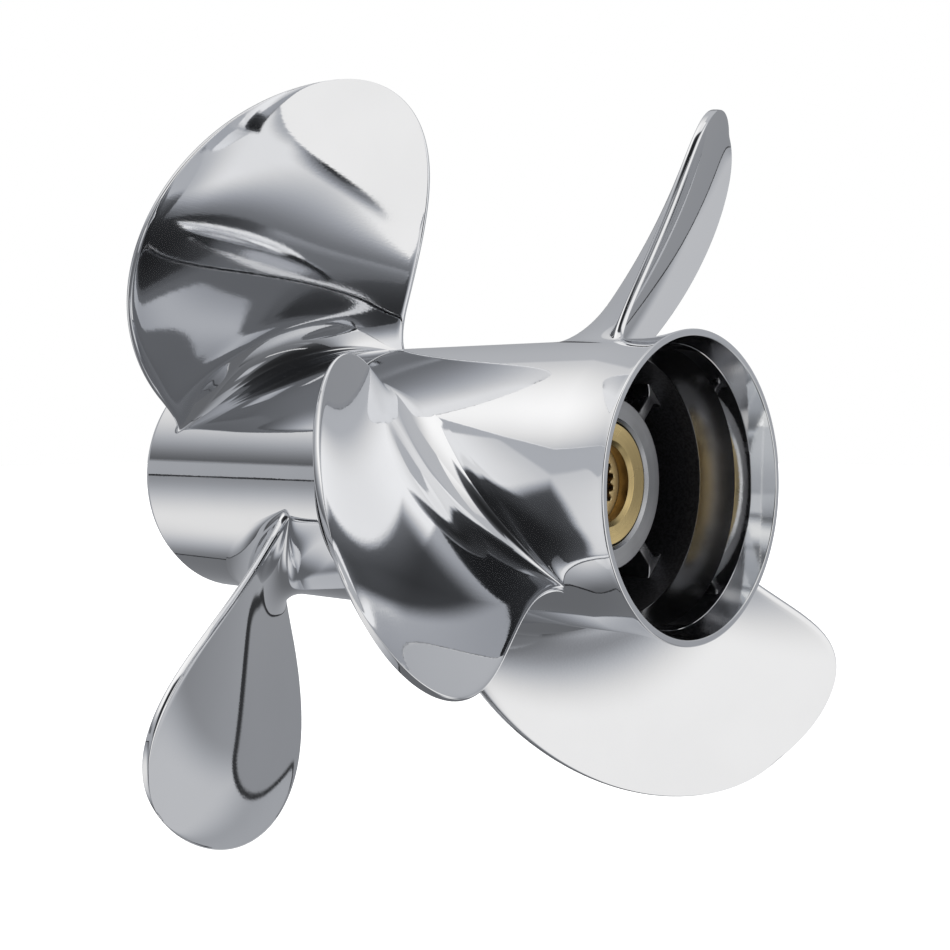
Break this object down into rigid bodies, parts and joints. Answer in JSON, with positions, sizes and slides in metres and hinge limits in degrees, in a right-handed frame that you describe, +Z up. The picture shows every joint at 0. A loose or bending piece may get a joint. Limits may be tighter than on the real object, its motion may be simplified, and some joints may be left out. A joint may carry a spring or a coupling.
{
  "type": "contra-rotating stern-drive propeller pair",
  "caption": "Two polished steel propellers on one shaft axis that turn opposite ways, with hollow exhaust hubs, swept blades and a flared ring at the aft end.",
  "frame": {"origin": "on the shaft axis, in the plane of the front barrel's forward face", "axes": "+X along the shaft axis, pointing aft; +Z up as in the picture"},
  "size_m": [0.263, 0.3185, 0.3121],
  "materials": {
    "polished_steel": "mirror polished",
    "machined_steel": "fine turned",
    "brass": "machined",
    "rubber": "matt"
  },
  "bodies": {
    "front_propeller": {"front_barrel": "polished_steel", "front_blade_1": "polished_steel", "front_blade_2": "polished_steel", "front_blade_3": "polished_steel", "front_inner_hub": "machined_steel", "front_rib_1": "polished_steel", "front_rib_2": "polished_steel", "front_rib_3": "polished_steel", "front_rib_4": "polished_steel", "front_rubber_bushing": "rubber", "front_spline_sleeve": "brass"},
    "rear_propeller": {"rear_barrel": "polished_steel", "rear_flare_ring": "polished_steel", "rear_blade_1": "polished_steel", "rear_blade_2": "polished_steel", "rear_blade_3": "polished_steel", "rear_inner_hub": "machined_steel", "rear_rib_1": "polished_steel", "rear_rib_2": "polished_steel", "rear_rib_3": "polished_steel", "rear_rib_4": "polished_steel", "rear_brass_collar": "brass", "rear_rubber_bushing": "rubber", "rear_spline_sleeve": "brass"}
  },
  "joints": [
    {"name": "counter_rotation", "type": "hinge", "parent": "front_propeller", "child": "rear_propeller", "pos_m": [0.12, 0, 0], "axis": [1, 0, 0], "continuous": true}
  ]
}
